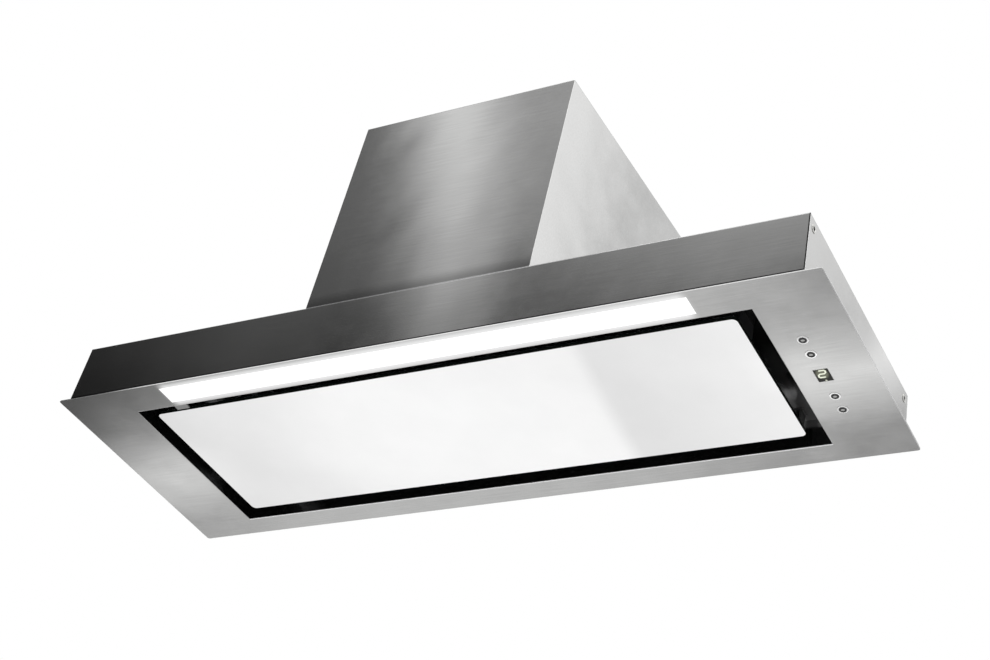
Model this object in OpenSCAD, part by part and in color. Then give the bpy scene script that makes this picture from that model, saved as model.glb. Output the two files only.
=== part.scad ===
// Built-in range hood: a face plate with a hinged glass panel, a shallow tray and a blower housing.
// X runs left to right, Y from the front with the lamp to the rear, Z up. The origin is the centre
// of the face plate's underside. Lengths are millimetres.

/* [Face plate] */
// Width of the face plate, left to right
plate_w = 900; // [880:1:960]
// Depth of the face plate, front to rear
plate_d = 290; // [288:1:300]
// Thickness of the stainless sheet of plate, tray and blower housing
sheet_t = 0.8; // [0.6:0.1:1]
// Corner radius of the face plate
plate_corner_r = 3; // [1:0.5:6]
// How far the plate stands out past the tray at each end
plate_lip = 17; // [14:0.5:22]
// Width of the hem folded over along each end of the plate
hem_w = 9; // [6:0.5:11]
// How far each hem stops short of the plate's corners
hem_relief = 8; // [6:1:14]

/* [Tray] */
// Height of the tray above the face plate
tray_h = 69.4; // [66:0.2:76]
// Gap between the front fascia and the sheets next to it
seam = 0.4; // [0.2:0.1:0.6]
// Width of the flanges that the tray stands on
tray_foot = 12; // [8:1:14]
// Width of the flanges of the front fascia
fascia_flange = 5; // [3:0.2:5.4]
// Radius of the holes in the tray's ends that fix the hood in its cabinet
fix_hole_r = 3.5; // [2.5:0.1:4]
// Distance of the fixing holes from the tray's front and rear
fix_inset = 11; // [9:0.5:20]
// Depth of the fixing holes below the tray's top
fix_drop = 11; // [8:0.5:14]

/* [Intake] */
// Width of the plate at each end of the opening
rim_side = 83; // [80:0.5:92]
// Width of the plate in front of the opening
rim_front = 39.6; // [39:0.2:41]
// Width of the plate behind the opening
rim_rear = 28.4; // [24:0.2:32]
// Thickness of the black sheet of the intake frame
frame_t = 1; // [0.8:0.1:1.2]
// Width of the intake frame's foot on the plate
frame_foot = 3; // [2:0.1:3.4]
// Height of the filter shelf above the plate's underside
shelf_z = 34; // [31:0.5:36]
// Width of the shelf at each end of the window
shelf_side = 37; // [35:0.5:47]
// Width of the shelf in front of the window
shelf_front = 17.4; // [16:0.2:20]
// Width of the shelf behind the window
shelf_rear = 16.6; // [15:0.2:19]

/* [Glass panel] */
// Gap between the glass and the opening at each side
panel_gap_side = 20.2; // [18:0.2:22]
// Gap in front of the glass
panel_gap_front = 9.6; // [8:0.2:11]
// Gap behind the glass
panel_gap_rear = 20; // [18:0.2:22]
// Thickness of the glass
glass_t = 4; // [3:0.5:5]
// Corner radius of the glass
glass_corner_r = 5.5; // [3:0.5:8]
// How far the backing pan stands in from the edge of the glass
pan_inset = 6; // [5:0.5:7]
// Height of the backing pan
pan_h = 6; // [5:0.5:7]
// Thickness of the sheet of the backing pan
pan_t = 0.8; // [0.6:0.1:1]

/* [Panel hinge] */
// Height of the hinge pin above the plate's underside
hinge_z = 12; // [11.5:0.1:12.5]
// Distance of the hinge pin behind the rear edge of the glass
hinge_back = 1.4; // [1:0.1:2]
// Radius of the hinge pin
hinge_pin_r = 2; // [1.5:0.1:2.2]
// Radius of the rounded ends round the pin
hinge_eye_r = 4.5; // [4:0.1:5]
// Thickness of the hinge's ears
hinge_ear_t = 2; // [1.5:0.1:2.2]
// Gap beside the moving ear
hinge_side_gap = 0.3; // [0.2:0.05:0.5]
// Radial clearance of the moving ear on the pin
hinge_clear = 0.05; // [0.03:0.01:0.08]
// Length of the moving arm on the backing pan
hinge_arm_l = 34; // [28:1:40]

/* [Panel catches] */
// Length of a magnetic catch, front to rear
catch_l = 32; // [24:1:40]
// Width of a magnetic catch
catch_w = 9; // [7:0.5:10]
// How far the catches lie behind the front edge of the glass
catch_setback = 22; // [16:1:40]
// Thickness of the strike plates on the panel
strike_t = 1; // [0.8:0.1:1.5]

/* [Filters] */
// Height of the filter cassettes
filter_h = 9; // [8:0.5:11]
// Thickness of the filter's frame sheet
filter_sheet_t = 0.8; // [0.6:0.1:1]
// Width of the rolled rim round the filter
filter_rim = 11; // [9:0.5:14]
// Gap beside and between the filters
filter_gap = 1.5; // [1:0.1:2.5]
// Gap between the front of a filter and the window's front edge
filter_front_gap = 1; // [0.8:0.1:1.5]
// How far a filter lies over the shelf at its rear edge
filter_lap = 6; // [5:0.5:9]
// Length of one diamond of the expanded mesh
mesh_pitch_x = 24; // [20:1:30]
// Width of one diamond of the expanded mesh
mesh_pitch_y = 13; // [11:0.5:16]
// Width of the mesh's strands
mesh_strand = 1.8; // [1.4:0.1:2.4]
// Width of the pull tab under the front edge of a filter
pull_w = 46; // [36:1:60]
// Width of a filter clip
clip_w = 18; // [12:1:24]

/* [Lamp] */
// Width of the plate at each end of the lamp
led_side = 136.5; // [120:0.5:150]
// Width of the lamp's slot
led_w = 25; // [23:0.5:26]
// Width of the plate in front of the lamp
led_setback = 8.2; // [7.6:0.1:9]
// Thickness of the white diffuser
diffuser_t = 3; // [2.5:0.1:4]
// Height of the lamp's aluminium profile
lamp_h = 18; // [15:0.5:24]
// Wall of the lamp's aluminium profile
lamp_wall = 1.5; // [1.2:0.1:1.8]
// Distance between two diodes
diode_pitch = 24; // [18:1:40]

/* [Controls] */
// Distance of the controls from the plate's right end
controls_inset = 53.3; // [50:0.1:56]
// Distance of the inner buttons from the middle of the controls
button_reach = 34; // [28:0.5:36]
// Distance between the two buttons of a pair
button_pitch = 22.5; // [18:0.5:26]
// Radius of a button
button_r = 4; // [3.5:0.1:4.2]
// Outer radius of a button's bezel
bezel_r = 5.8; // [5.5:0.1:6.5]
// How far a bezel stands out of the plate
bezel_h = 0.6; // [0.4:0.1:1]
// Travel of a button
button_travel = 1.2; // [0.6:0.1:1.3]
// Width of the display window, left to right
display_w = 15; // [12:0.5:18]
// Depth of the display window, front to rear
display_d = 19; // [16:0.5:22]
// Width of the control box
control_w = 42; // [36:1:44]
// Height of the control box
control_h = 18; // [16:0.5:24]

/* [Blower housing] */
// Width of the blower housing at its front
housing_w = 272; // [264:1:284]
// How much further out each side stands at the rear than at the front
housing_flare = 11; // [0:0.5:14]
// Height of the blower housing above the tray
housing_h = 270; // [262:1:300]
// Width of the flanges of the blower housing
housing_flange = 14; // [12:1:16]

/* [Blower] */
// Outer radius of the impeller
impeller_r = 70; // [66:0.5:72]
// Width of the impeller
impeller_w = 120; // [110:1:124]
// Number of blades
blade_n = 36; // [24:1:40]
// Radial depth of a blade
blade_depth = 13; // [10:0.5:15]
// Thickness of a blade
blade_t = 0.9; // [0.7:0.1:1.2]
// Angle that a blade leans forward from its root to its tip
blade_sweep = 12; // [6:1:16]
// Gap between the impeller and the scroll's tongue
tongue_gap = 7; // [6:0.5:9]
// How much the scroll opens from its tongue to its outlet
scroll_growth = 35; // [30:0.5:36]
// Gap between the impeller and each side of the scroll
scroll_side_gap = 5; // [4:0.5:6]
// Thickness of the scroll's sheet
scroll_t = 1; // [0.8:0.1:1.2]
// Radius of the air inlets in the scroll's sides
inlet_r = 58; // [56:0.5:59]
// Height of the impeller's axis above the tray
blower_z = 120; // [118:0.5:126]
// How far the impeller's axis lies in front of the middle
blower_front = 30; // [26:0.5:33]
// Radius of the motor
motor_r = 38; // [34:0.5:42]
// Radius of the motor's shaft
shaft_r = 4; // [3:0.1:5]
// Radial clearance of the shaft in the motor
shaft_clear = 0.05; // [0.03:0.01:0.08]

/* [Duct collar] */
// Outer radius of the duct collar
collar_r = 74.5; // [72:0.1:76]
// Wall of the duct collar
collar_wall = 2; // [1.6:0.1:2.4]
// Height of the duct collar above its flange
collar_h = 45; // [42:1:52]
// Radius of the collar's flange
collar_flange_r = 84; // [83.6:0.1:86]
// Thickness of the collar's flange
collar_flange_t = 2; // [1.6:0.1:3]
// Thickness of the non-return flaps
flap_t = 1.2; // [0.8:0.1:1.6]
// Radius of the flaps' pin
flap_pin_r = 2; // [1.5:0.1:2.5]
// Radial clearance of the flaps on their pin
flap_clear = 0.05; // [0.03:0.01:0.08]

/* [Mains connection] */
// Radius of the cable that the gland takes
cable_r = 3.75; // [3:0.05:4.5]
// Depth of the terminal box, front to rear
terminal_d = 90; // [70:1:100]
// Width of the terminal box
terminal_w = 48; // [40:1:52]
// Height of the terminal box
terminal_h = 44; // [36:1:45]
// Distance of the terminal box from the tray's rear wall
terminal_rear_gap = 23.6; // [18:0.2:26]
// Distance of the lamp's power supply from the tray's front
driver_setback = 42.6; // [40:0.2:46]

/* [Hidden] */
$fn = 64;
// Overrun of every cut
over = 1;
// Clearance between pieces of one body that slip together
slip = 0.1;
// Gap between a piece that moves and the seat that carries it
rest_gap = 0.3;

tray_w = plate_w - 2 * plate_lip;
tray_top = sheet_t + tray_h;
front_y = -plate_d / 2;
rear_y = plate_d / 2;
fix_pitch = plate_d - 2 * fix_inset;

opening_w = plate_w - 2 * rim_side;
opening_d = plate_d - rim_front - rim_rear;
window_w = opening_w - 2 * shelf_side;
opening_front = front_y + rim_front;
opening_rear = opening_front + opening_d;
opening_y = (opening_front + opening_rear) / 2;
window_front = opening_front + shelf_front;
window_rear = opening_rear - shelf_rear;
shelf_top = shelf_z + frame_t;

panel_w = opening_w - 2 * panel_gap_side;
panel_front = opening_front + panel_gap_front;
panel_rear = opening_rear - panel_gap_rear;
panel_d = panel_rear - panel_front;
panel_y = (panel_front + panel_rear) / 2;
pan_w = panel_w - 2 * pan_inset;
pan_d = panel_d - 2 * pan_inset;
pan_top = glass_t + pan_h;

// The hinges and the catches stand on the strip between the filter window and the pan's ends
strip_w = (pan_w - window_w) / 2;
strip_x = (pan_w + window_w) / 4;
hinge_y = panel_rear + hinge_back;
hinge_outer = hinge_ear_t / 2 + hinge_side_gap + hinge_ear_t;
hinge_base_t = 1.5;
strip_edge = 0.5;

catch_front = panel_front + catch_setback;
catch_bottom = pan_top + strike_t + rest_gap;

filter_w = (window_w - 3 * filter_gap) / 2;
filter_front = window_front + filter_front_gap;
filter_rear = window_rear + filter_lap;
filter_d = filter_rear - filter_front;
filter_z = shelf_top + rest_gap;
filter_x = (filter_w + filter_gap) / 2;
mesh_w = filter_w - 2 * (filter_sheet_t + slip);
mesh_d = filter_d - 2 * (filter_sheet_t + slip);
mesh_h = filter_h - 2 * (filter_sheet_t + slip);
pull_reach = 13;
pull_drop = 5;
pull_lip = 3;
clip_gap = 0.5;
clip_t = 0.6;
clip_foot = 9;
clip_rise = 6;

led_l = plate_w - 2 * led_side;
led_front = front_y + led_setback;
led_rear = led_front + led_w;
led_y = (led_front + led_rear) / 2;
lamp_shoulder = 1.2;
board_t = 1.6;
diode_side = 3;
diode_h = 1;

controls_x = plate_w / 2 - controls_inset;
button_ys = [for (side = [-1, 1], n = [0, 1]) opening_y + side * (button_reach + n * button_pitch)];
bezel_sleeve_t = 0.8;
bezel_sleeve_r = button_r + slip + bezel_sleeve_t;
bezel_sleeve_h = 2.4;
button_proud = 0.3;
button_flange_w = 0.7;
button_flange_r = button_r + button_flange_w;
button_flange_t = 0.7;
button_groove_r = 2.6;
button_groove_w = 0.6;
button_groove_depth = 0.4;
button_stem_r = 1.75;
button_stem_h = 2;
switch_side = 6;
switch_h = 3.6;
switch_bore_depth = 1.9;
switch_gap = 0.5;
board_z = bezel_sleeve_h + slip + button_flange_t + button_travel + switch_gap + switch_h;
control_wall = 1.8;
control_margin = 16;
control_l = 2 * (button_reach + button_pitch + control_margin);
control_post_r = 2.5;
control_post_inset = 5;
lens_edge = 1;
lens_flange_t = 1;

house_top = tray_top + housing_h;
housing_rear_w = housing_w + 2 * housing_flare;
housing_skirt = 12;
blower_hole_margin = 20;
// Places of the housing's screws along its depth and height, as shares
side_screw_share = 0.35;
back_screw_shares = [0.12, 0.5, 0.88];

axis_y = -blower_front;
axis_z = tray_top + blower_z;
scroll_half = impeller_w / 2 + scroll_side_gap;
tongue_angle = 60;
tongue_r = impeller_r + tongue_gap;
outlet_top = house_top - sheet_t;
outlet_front = axis_y + tongue_r * cos(tongue_angle);
outlet_rear = axis_y + tongue_r + scroll_growth;
outlet_y = (outlet_front + outlet_rear) / 2;
outlet_flange = 8;
inlet_lip = 4;
scroll_steps = 30;
blade_inset = 1;
blade_root_r = impeller_r - blade_inset - blade_depth;
blade_steps = 5;
impeller_ring_w = 3;
impeller_ring_depth = 6;
impeller_disc_t = 2;
hub_r = 11;
hub_front = 4;
hub_rear = 14;
motor_gap = 4;
bracket_t = 2;
bracket_stand = 6;
bracket_arm_w = 14;
bracket_foot_gap = 4;
bracket_foot_r = inlet_r + inlet_lip + scroll_t + bracket_foot_gap;
bracket_foot_w = 9;
motor_x = -scroll_half - scroll_t - bracket_stand;
motor_end = -hub_front - motor_gap;
motor_bell = 8;
motor_step = 6;
motor_bell_r = motor_r - motor_step;
capacitor_r = 14.5;
capacitor_l = 58;
capacitor_angle = 225;
capacitor_cap = 3;

collar_base = house_top + collar_flange_t;
collar_top = collar_base + collar_h;
collar_bore_r = collar_r - collar_wall;
collar_screw_angle = 28;
collar_screw_inset = 5;
collar_screw_r = collar_flange_r - collar_screw_inset;
flap_edge_gap = 1.5;
flap_r = collar_bore_r - flap_edge_gap;
flap_barrel_t = 1.15;
flap_barrel_r = flap_pin_r + flap_clear + flap_barrel_t;
flap_seat_rise = 3;
flap_seat_z = collar_base + flap_seat_rise;
flap_seat_t = 1.5;
flap_seat_w = 4;
flap_z = flap_seat_z + flap_seat_t + rest_gap + flap_barrel_r;
flap_gap = 0.6;
// Where the barrels of each flap start and end along the pin, as shares of the flap's radius
front_barrel_shares = [[-0.9, -0.5], [0.05, 0.45]];
rear_barrel_shares = [[-0.45, -0.05], [0.5, 0.9]];

screw_r = 1.75;
screw_head_r = 3.5;
screw_head_h = 2.2;
screw_l = 7;
screw_clear = 0.15;

gland_y = rear_y - sheet_t - terminal_rear_gap - terminal_d / 2;
gland_wall = 4;
gland_nut_w = 1.5;
gland_rise = 14;
gland_flange_r = 12;
gland_flange_t = 3;
terminal_wall = 1.8;
terminal_x = -(tray_w / 2 - sheet_t + opening_w / 2 + frame_t) / 2;
terminal_block_w = 18;
terminal_block_l = 46;
terminal_block_h = 16;
terminal_way = 9;
driver_l = 96;
driver_w = 36;
driver_h = 22;
driver_y = front_y + driver_setback + driver_l / 2;
driver_lug = 8;
driver_lug_t = 2;

// A block between low and high limits along each axis
module span(x, y, z)
    translate([x[0], y[0], z[0]]) cube([x[1] - x[0], y[1] - y[0], z[1] - z[0]]);

// A flat outline in Y and Z, drawn out along X between two places
module along_x(x)
    translate([x[0], 0, 0]) rotate([90, 0, 90]) linear_extrude(x[1] - x[0]) children();

// A child drawn once on each side of the hood's middle
module both_ends() {
    children();
    mirror([1, 0, 0]) children();
}

module rounded_outline(w, d, r) {
    square([w - 2 * r, d], center = true);
    square([w, d - 2 * r], center = true);
    for (x = [-1, 1], y = [-1, 1])
        translate([x * (w / 2 - r), y * (d / 2 - r)]) circle(r = r);
}

// A pan-head screw whose head sits on the plane z = 0 and whose shank points down
module screw() {
    cylinder(h = screw_head_h / 2, r = screw_head_r);
    translate([0, 0, screw_head_h / 2])
        cylinder(h = screw_head_h / 2, r1 = screw_head_r, r2 = screw_head_r - screw_head_h / 2);
    translate([0, 0, -screw_l]) cylinder(h = screw_l, r = screw_r);
}

module screw_hole()
    translate([0, 0, -screw_l - over]) cylinder(h = screw_l + 2 * over, r = screw_r + screw_clear);

// The face plate, one sheet with the openings for intake, lamp, display and buttons
module face_plate() color("silver") {
    linear_extrude(sheet_t) difference() {
        rounded_outline(plate_w, plate_d, plate_corner_r);
        translate([0, opening_y]) square([opening_w, opening_d], center = true);
        translate([0, led_y]) square([led_l, led_w], center = true);
        translate([controls_x, opening_y]) square([display_w, display_d], center = true);
        for (y = button_ys) translate([controls_x, y]) circle(r = bezel_sleeve_r);
    }
    both_ends()
        span([plate_w / 2 - hem_w, plate_w / 2], [front_y + hem_relief, rear_y - hem_relief],
             [sheet_t, 2 * sheet_t]);
}

// The tray's top, rear and ends, folded from one sheet
module body_shell() color("lightgray") difference() {
    union() {
        span([-tray_w / 2, tray_w / 2], [front_y + sheet_t, rear_y], [tray_top - sheet_t, tray_top]);
        span([-tray_w / 2, tray_w / 2], [rear_y - sheet_t, rear_y], [sheet_t, tray_top]);
        span([-tray_w / 2 + tray_foot, tray_w / 2 - tray_foot], [rear_y - tray_foot, rear_y],
             [sheet_t, 2 * sheet_t]);
        both_ends() {
            span([tray_w / 2 - sheet_t, tray_w / 2], [front_y + sheet_t + seam, rear_y],
                 [sheet_t, tray_top]);
            span([tray_w / 2 - tray_foot, tray_w / 2], [front_y + sheet_t + seam + fascia_flange, rear_y],
                 [sheet_t, 2 * sheet_t]);
        }
    }
    translate([0, 0, tray_top - sheet_t - over])
        linear_extrude(sheet_t + 2 * over) housing_plan(blower_hole_margin);
    for (x = [-1, 1], y = [-1, 1])
        translate([x * tray_w / 2, y * fix_pitch / 2, tray_top - fix_drop])
            rotate([0, 90, 0]) cylinder(h = 2 * (sheet_t + over), r = fix_hole_r, center = true);
    translate([terminal_x, gland_y, tray_top - sheet_t - over])
        cylinder(h = sheet_t + 2 * over, r = cable_r + gland_wall);
    housing_screw_places() screw_hole();
}

// The front wall of the tray, with returns at its ends, top and foot
module front_fascia() color("dimgray") {
    span([-tray_w / 2, tray_w / 2], [front_y, front_y + sheet_t], [sheet_t + seam, tray_top]);
    span([-tray_w / 2 + sheet_t, tray_w / 2 - sheet_t], [front_y, front_y + sheet_t + fascia_flange],
         [tray_top - 2 * sheet_t, tray_top - sheet_t]);
    span([-tray_w / 2 + sheet_t, tray_w / 2 - sheet_t], [front_y, front_y + sheet_t + fascia_flange],
         [sheet_t + seam, 2 * sheet_t + seam]);
    both_ends()
        span([tray_w / 2 - 2 * sheet_t, tray_w / 2 - sheet_t], [front_y, front_y + sheet_t + fascia_flange],
             [sheet_t + seam, tray_top - sheet_t]);
}

// The black duct between the opening and the tray's top, with the shelf that carries the filters
module intake_frame() color("black") {
    translate([0, opening_y, sheet_t]) {
        linear_extrude(tray_h - sheet_t) difference() {
            square([opening_w + 2 * frame_t, opening_d + 2 * frame_t], center = true);
            square([opening_w, opening_d], center = true);
        }
        linear_extrude(frame_t) difference() {
            square([opening_w + 2 * (frame_t + frame_foot), opening_d + 2 * (frame_t + frame_foot)],
                   center = true);
            square([opening_w, opening_d], center = true);
        }
    }
    difference() {
        span([-opening_w / 2, opening_w / 2], [opening_front, opening_rear], [shelf_z, shelf_top]);
        span([-window_w / 2, window_w / 2], [window_front, window_rear], [shelf_z - over, shelf_top + over]);
    }
}

// Leaf springs on the shelf that hold the filters' front edges
module filter_clips() color("gray")
    for (x = [-1, 1], n = [-1, 1]) translate([x * filter_x + n * filter_w / 4 - clip_w / 2, 0, 0]) {
        span([0, clip_w], [filter_front - clip_gap - clip_foot, filter_front - clip_gap],
             [shelf_top, shelf_top + clip_t]);
        span([0, clip_w], [filter_front - clip_gap - clip_t, filter_front - clip_gap],
             [shelf_top, shelf_top + clip_rise]);
    }

module at_hinges() both_ends() translate([strip_x, 0, 0]) children();

// Forks under the shelf that carry the hinge pins
module hinge_brackets() color("gray") at_hinges() {
    span([-strip_w / 2 + strip_edge, strip_w / 2 - strip_edge],
         [hinge_y - hinge_eye_r, hinge_y + 2 * hinge_eye_r], [shelf_z - hinge_base_t, shelf_z]);
    for (side = [-1, 1]) translate([side * (hinge_outer - hinge_ear_t / 2), 0, 0])
        along_x([-hinge_ear_t / 2, hinge_ear_t / 2]) difference() {
            translate([hinge_y, hinge_z]) union() {
                circle(r = hinge_eye_r);
                polygon([[-hinge_eye_r, 0], [hinge_eye_r, 0],
                         [2 * hinge_eye_r, shelf_z - hinge_base_t - hinge_z],
                         [-hinge_eye_r, shelf_z - hinge_base_t - hinge_z]]);
            }
            translate([hinge_y, hinge_z]) circle(r = hinge_pin_r);
        }
}

module hinge_pins() color("silver") at_hinges()
    along_x([-hinge_outer, hinge_outer]) translate([hinge_y, hinge_z]) circle(r = hinge_pin_r);

// Magnets in black holders under the shelf's ends
module panel_catches() color("dimgray") both_ends() {
    span([strip_x - catch_w / 2, strip_x + catch_w / 2], [catch_front, catch_front + catch_l],
         [catch_bottom, shelf_z]);
}

module glass_panel() color("white")
    translate([0, panel_y, 0]) linear_extrude(glass_t) rounded_outline(panel_w, panel_d, glass_corner_r);

// The steel pan bonded to the back of the glass, hollow towards it
module panel_pan() color("black") translate([0, panel_y, glass_t]) difference() {
    linear_extrude(pan_h) square([pan_w, pan_d], center = true);
    translate([0, 0, -over]) linear_extrude(pan_h - pan_t + over)
        square([pan_w - 2 * pan_t, pan_d - 2 * pan_t], center = true);
}

// The arms riveted to the pan, each with the ear that turns on its pin
module hinge_arms() color("gray") at_hinges() {
    span([-strip_w / 2 + strip_edge, strip_w / 2 - strip_edge],
         [hinge_y - hinge_arm_l, panel_rear - pan_inset], [pan_top, pan_top + hinge_base_t]);
    along_x([-hinge_ear_t / 2, hinge_ear_t / 2]) difference() {
        union() {
            translate([hinge_y, hinge_z]) circle(r = hinge_eye_r);
            polygon([[hinge_y - hinge_arm_l, pan_top], [panel_rear - pan_inset, pan_top],
                     [hinge_y, hinge_z - hinge_eye_r], [hinge_y, hinge_z + hinge_eye_r],
                     [hinge_y - hinge_arm_l / 2, hinge_z + hinge_eye_r],
                     [hinge_y - hinge_arm_l, pan_top + hinge_base_t]]);
        }
        translate([hinge_y, hinge_z]) circle(r = hinge_pin_r + hinge_clear);
    }
}

module panel_strikes() color("silver") both_ends()
    span([strip_x - catch_w / 2, strip_x + catch_w / 2], [catch_front, catch_front + catch_l],
         [pan_top, pan_top + strike_t]);

// The rolled aluminium rim of one filter cassette, open in its middle
module filter_frame() color("silver") difference() {
    span([-filter_w / 2, filter_w / 2], [filter_front, filter_rear], [filter_z, filter_z + filter_h]);
    span([-filter_w / 2 + filter_sheet_t, filter_w / 2 - filter_sheet_t],
         [filter_front + filter_sheet_t, filter_rear - filter_sheet_t],
         [filter_z + filter_sheet_t, filter_z + filter_h - filter_sheet_t]);
    span([-filter_w / 2 + filter_rim, filter_w / 2 - filter_rim],
         [filter_front + filter_rim, filter_rear - filter_rim], [filter_z - over, filter_z + filter_h + over]);
}

// The expanded aluminium pack inside the rim, pierced by rows of diamonds
module filter_mesh() color("gainsboro") {
    clear_w = filter_w - 2 * filter_rim;
    clear_d = filter_d - 2 * filter_rim;
    columns = floor(clear_w / mesh_pitch_x);
    rows = floor(clear_d / mesh_pitch_y) * 2 - 1;
    half_x = mesh_pitch_x / 2 - mesh_strand;
    half_y = mesh_pitch_y / 2 - mesh_strand / 2;
    translate([0, (filter_front + filter_rear) / 2, filter_z + filter_sheet_t + slip])
        linear_extrude(mesh_h) difference() {
            square([mesh_w, mesh_d], center = true);
            for (row = [0 : rows - 1], column = [0 : columns - 1 - row % 2])
                translate([(column - (columns - 1 - row % 2) / 2) * mesh_pitch_x,
                           (row - (rows - 1) / 2) * mesh_pitch_y / 2])
                    polygon([[-half_x, 0], [0, -half_y], [half_x, 0], [0, half_y]]);
        }
}

// A folded tab under the front edge, by which the cassette is pulled down
module filter_pull() color("dimgray") {
    span([-pull_w / 2, pull_w / 2], [filter_front, filter_front + pull_reach],
         [filter_z - filter_sheet_t, filter_z]);
    span([-pull_w / 2, pull_w / 2],
         [filter_front + pull_reach - filter_sheet_t, filter_front + pull_reach],
         [filter_z - pull_drop, filter_z]);
    span([-pull_w / 2, pull_w / 2], [filter_front + pull_reach - pull_lip, filter_front + pull_reach],
         [filter_z - pull_drop - filter_sheet_t, filter_z - pull_drop]);
}

module at_filter(side) translate([side * filter_x, 0, 0]) children();

// The lamp's channel, open down to the slot, with shoulders that the diffuser rests on
module lamp_profile() color("gray") {
    top = sheet_t + lamp_h;
    difference() {
        span([-led_l / 2, led_l / 2], [led_front - lamp_wall, led_rear + lamp_wall], [sheet_t, top]);
        span([-led_l / 2 - over, led_l / 2 + over], [led_front, led_rear], [sheet_t - over, diffuser_t]);
        span([-led_l / 2 - over, led_l / 2 + over], [led_front + lamp_shoulder, led_rear - lamp_shoulder],
             [sheet_t, top - lamp_wall]);
    }
}

// The lamp's circuit board with its row of diodes
module lamp_board() color("white") {
    top = sheet_t + lamp_h - lamp_wall;
    count = floor((led_l - diode_pitch) / diode_pitch);
    span([-led_l / 2 + slip, led_l / 2 - slip],
         [led_front + lamp_shoulder + slip, led_rear - lamp_shoulder - slip], [top - board_t, top]);
    for (n = [0 : count]) translate([(n - count / 2) * diode_pitch, led_y, top - board_t])
        span([-diode_side / 2, diode_side / 2], [-diode_side / 2, diode_side / 2], [-diode_h, 0]);
}

module lamp_diffuser() color("white")
    span([-led_l / 2 + slip, led_l / 2 - slip], [led_front + slip, led_rear - slip], [0, diffuser_t]);

// The lamp's power supply, on lugs on the plate in the left end of the tray
module lamp_driver() color("white") translate([terminal_x, driver_y, 0]) {
    span([-driver_w / 2, driver_w / 2], [-driver_l / 2, driver_l / 2], [sheet_t, sheet_t + driver_h]);
    span([-driver_w / 4, driver_w / 4], [-driver_l / 2 - driver_lug, driver_l / 2 + driver_lug],
         [sheet_t, sheet_t + driver_lug_t]);
}

// The moulded box over the controls, with posts down to the board
module control_box() color("black") translate([controls_x, opening_y, sheet_t]) {
    difference() {
        linear_extrude(control_h) square([control_w, control_l], center = true);
        translate([0, 0, -over]) linear_extrude(control_h - control_wall + over)
            square([control_w - 2 * control_wall, control_l - 2 * control_wall], center = true);
    }
    for (x = [-1, 1], y = [-1, 1])
        translate([x * (control_w / 2 - control_wall - control_post_inset),
                   y * (control_l / 2 - control_wall - control_post_inset), board_z + board_t])
            cylinder(h = control_h - board_z - board_t - control_wall / 2, r = control_post_r);
}

module control_board() color("darkgreen") translate([controls_x, opening_y, sheet_t + board_z])
    linear_extrude(board_t)
        square([control_w - 2 * (control_wall + slip), control_l - 2 * (control_wall + slip)], center = true);

// The push switches on the board, each with the well that its button's stem enters
module tactile_switches() color("dimgray")
    for (y = button_ys) translate([controls_x, y, sheet_t + board_z - switch_h]) difference() {
        linear_extrude(switch_h) square(switch_side, center = true);
        translate([0, 0, -over]) cylinder(h = switch_bore_depth + over, r = button_stem_r + slip);
    }

module display_module() color("black") translate([controls_x, opening_y, 0])
    span([-display_w / 2 + slip, display_w / 2 - slip], [-display_d / 2 + slip, display_d / 2 - slip],
         [sheet_t + lens_flange_t, sheet_t + board_z]);

// The smoked window in the plate, with a flange behind it
module display_lens() color("darkslategray") translate([controls_x, opening_y, 0]) {
    linear_extrude(sheet_t + lens_flange_t)
        square([display_w - 2 * slip, display_d - 2 * slip], center = true);
    translate([0, 0, sheet_t]) linear_extrude(lens_flange_t)
        square([display_w + 2 * lens_edge, display_d + 2 * lens_edge], center = true);
}

// The bright rings round the buttons, with sleeves through the plate
module button_bezels() color("gainsboro") for (y = button_ys) translate([controls_x, y, 0])
    rotate_extrude() polygon([
        [button_r + slip, -bezel_h], [bezel_r - bezel_h / 2, -bezel_h], [bezel_r, -bezel_h / 2],
        [bezel_r, 0], [bezel_sleeve_r, 0], [bezel_sleeve_r, bezel_sleeve_h],
        [button_r + slip, bezel_sleeve_h]]);

// One button: cap with a ring groove, a flange that keeps it in its bezel, and the stem
module button(n) color("dimgray") translate([controls_x, button_ys[n], 0]) {
    foot = -bezel_h - button_proud;
    flange = bezel_sleeve_h + slip;
    difference() {
        translate([0, 0, foot]) cylinder(h = flange - foot, r = button_r);
        translate([0, 0, foot - over]) difference() {
            cylinder(h = button_groove_depth + over, r = button_groove_r + button_groove_w);
            translate([0, 0, -over])
                cylinder(h = button_groove_depth + 3 * over, r = button_groove_r);
        }
    }
    translate([0, 0, flange]) cylinder(h = button_flange_t, r = button_flange_r);
    translate([0, 0, flange + button_flange_t]) cylinder(h = button_stem_h, r = button_stem_r);
}

// Half the width of the blower housing at a place along its depth
function house_x(y) = housing_w / 2 + housing_flare * (y - front_y) / plate_d;

// The plan of the blower housing, a little wider at the rear, drawn in by an inset
module housing_plan(inset, rear = 0) {
    near = front_y + inset;
    far = rear_y - inset + rear;
    polygon([[inset - house_x(near), near], [house_x(near) - inset, near],
             [house_x(far) - inset, far], [inset - house_x(far), far]]);
}

module housing_screw_places()
    for (x = [-1, 1], y = [-plate_d * side_screw_share, plate_d * side_screw_share])
        translate([x * (house_x(y) - sheet_t - housing_flange / 2), y, tray_top + sheet_t]) children();

module back_screw_places()
    for (x = [-1, 1], z = back_screw_shares)
        translate([x * (housing_rear_w / 2 - sheet_t - housing_flange / 2), rear_y,
                   tray_top + z * housing_h]) rotate([-90, 0, 0]) children();

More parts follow.
